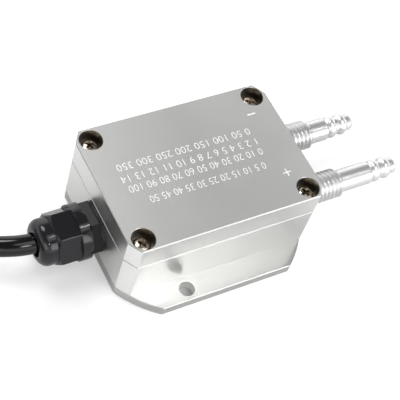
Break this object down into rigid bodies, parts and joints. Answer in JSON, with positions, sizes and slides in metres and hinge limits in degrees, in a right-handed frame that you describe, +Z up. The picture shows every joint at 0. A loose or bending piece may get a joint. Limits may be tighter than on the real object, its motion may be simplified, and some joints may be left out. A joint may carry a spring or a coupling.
{
  "type": "differential pressure transmitter",
  "caption": "Small milled aluminium box with side foot flanges, screwed cover, two hose barbs at one end and a cable gland with cable at the other.",
  "frame": {"origin": "centre of the foot, on the mounting surface, midway between the end walls", "axes": "+X along the hose fittings, -X along the cable gland, +Z up through the cover, -Y towards the high pressure side"},
  "size_m": [0.2323, 0.0831, 0.0273],
  "materials": {
    "housing_alu": "milled, walls almost mirror bright, cover top finely blasted",
    "screw_nickel": "dark nickel plated steel",
    "fitting_metal": "bright nickel plated brass",
    "board_screw_steel": "zinc plated steel",
    "nylon_black": "black nylon, satin",
    "seal_rubber": "black nitrile rubber",
    "cable_pvc": "black PVC sheath, glossy",
    "core_red": "red PVC core insulation",
    "core_black": "black PVC core insulation",
    "tinned_copper": "tin plated copper end sleeve",
    "tie_nylon": "black nylon strap",
    "board_green": "glass fibre board under green solder mask",
    "sensor_plastic": "off-white glass filled plastic",
    "hose_silicone": "translucent silicone",
    "terminal_plastic": "green polyamide",
    "chip_black": "black moulded package",
    "can_alu": "aluminium can on a black base",
    "trimmer_blue": "blue moulded case, brass screw",
    "resistor_black": "black glaze, tinned ends",
    "capacitor_tan": "fired ceramic, tinned ends"
  },
  "bodies": {
    "root": {"housing_body": "housing_alu", "cover": "housing_alu", "cover_seal": "seal_rubber", "cover_screws": "screw_nickel", "gland_body": "nylon_black", "gland_seal": "seal_rubber", "gland_sleeve": "seal_rubber", "gland_nut": "nylon_black", "high_port_fitting": "fitting_metal", "low_port_fitting": "fitting_metal", "port_lock_nuts": "fitting_metal", "port_seals": "seal_rubber", "circuit_board": "board_green", "board_screws": "board_screw_steel", "pressure_sensor": "sensor_plastic", "high_inner_hose": "hose_silicone", "low_inner_hose": "hose_silicone", "terminal_block": "terminal_plastic", "terminal_screws": "board_screw_steel", "signal_chip": "chip_black", "voltage_regulator": "chip_black", "smoothing_capacitor": "can_alu", "zero_trimmer": "trimmer_blue", "span_trimmer": "trimmer_blue", "chip_resistors": "resistor_black", "chip_capacitors": "capacitor_tan", "cable_held_length": "cable_pvc", "inner_core_red": "core_red", "inner_core_black": "core_black", "cable": "cable_pvc", "cable_coil": "cable_pvc", "coil_ties": "tie_nylon", "end_core_red": "core_red", "end_core_black": "core_black", "end_sleeves": "tinned_copper"}
  },
  "joints": []
}
